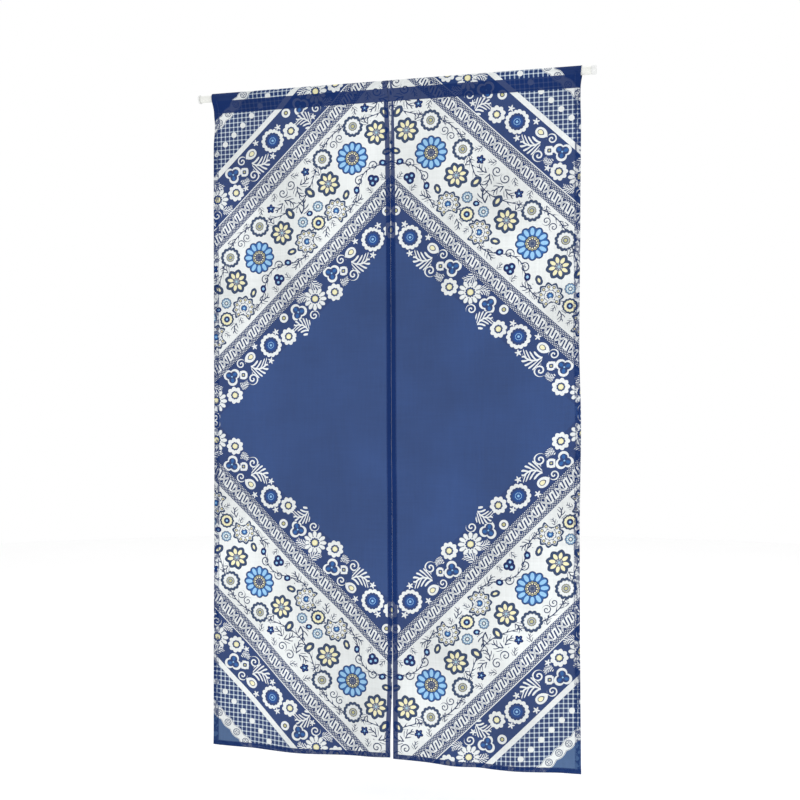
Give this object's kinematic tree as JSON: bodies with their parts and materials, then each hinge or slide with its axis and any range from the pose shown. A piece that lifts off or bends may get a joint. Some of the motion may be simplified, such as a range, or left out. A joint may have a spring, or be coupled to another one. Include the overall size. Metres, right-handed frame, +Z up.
{
  "type": "noren curtain on a rod",
  "caption": "Sheer split noren curtain with a diagonal floral and lattice border print, hung by its sewn casing on a slim white telescopic rod.",
  "frame": {"origin": "middle of the rod's length, on its axis", "axes": "+X along the rod to the viewer's right, +Z up, the printed front faces -Y"},
  "size_m": [0.92, 0.0238, 1.5096],
  "materials": {
    "printed_cloth": "sheer plain-weave voile, printed navy and white",
    "rod_white": "satin white",
    "cap_white": "matte white"
  },
  "bodies": {
    "root": {"panel_left": "printed_cloth", "panel_right": "printed_cloth", "rod_inner_tube": "rod_white", "rod_outer_tube": "rod_white", "end_cap_left": "cap_white", "end_cap_right": "cap_white"}
  },
  "joints": []
}
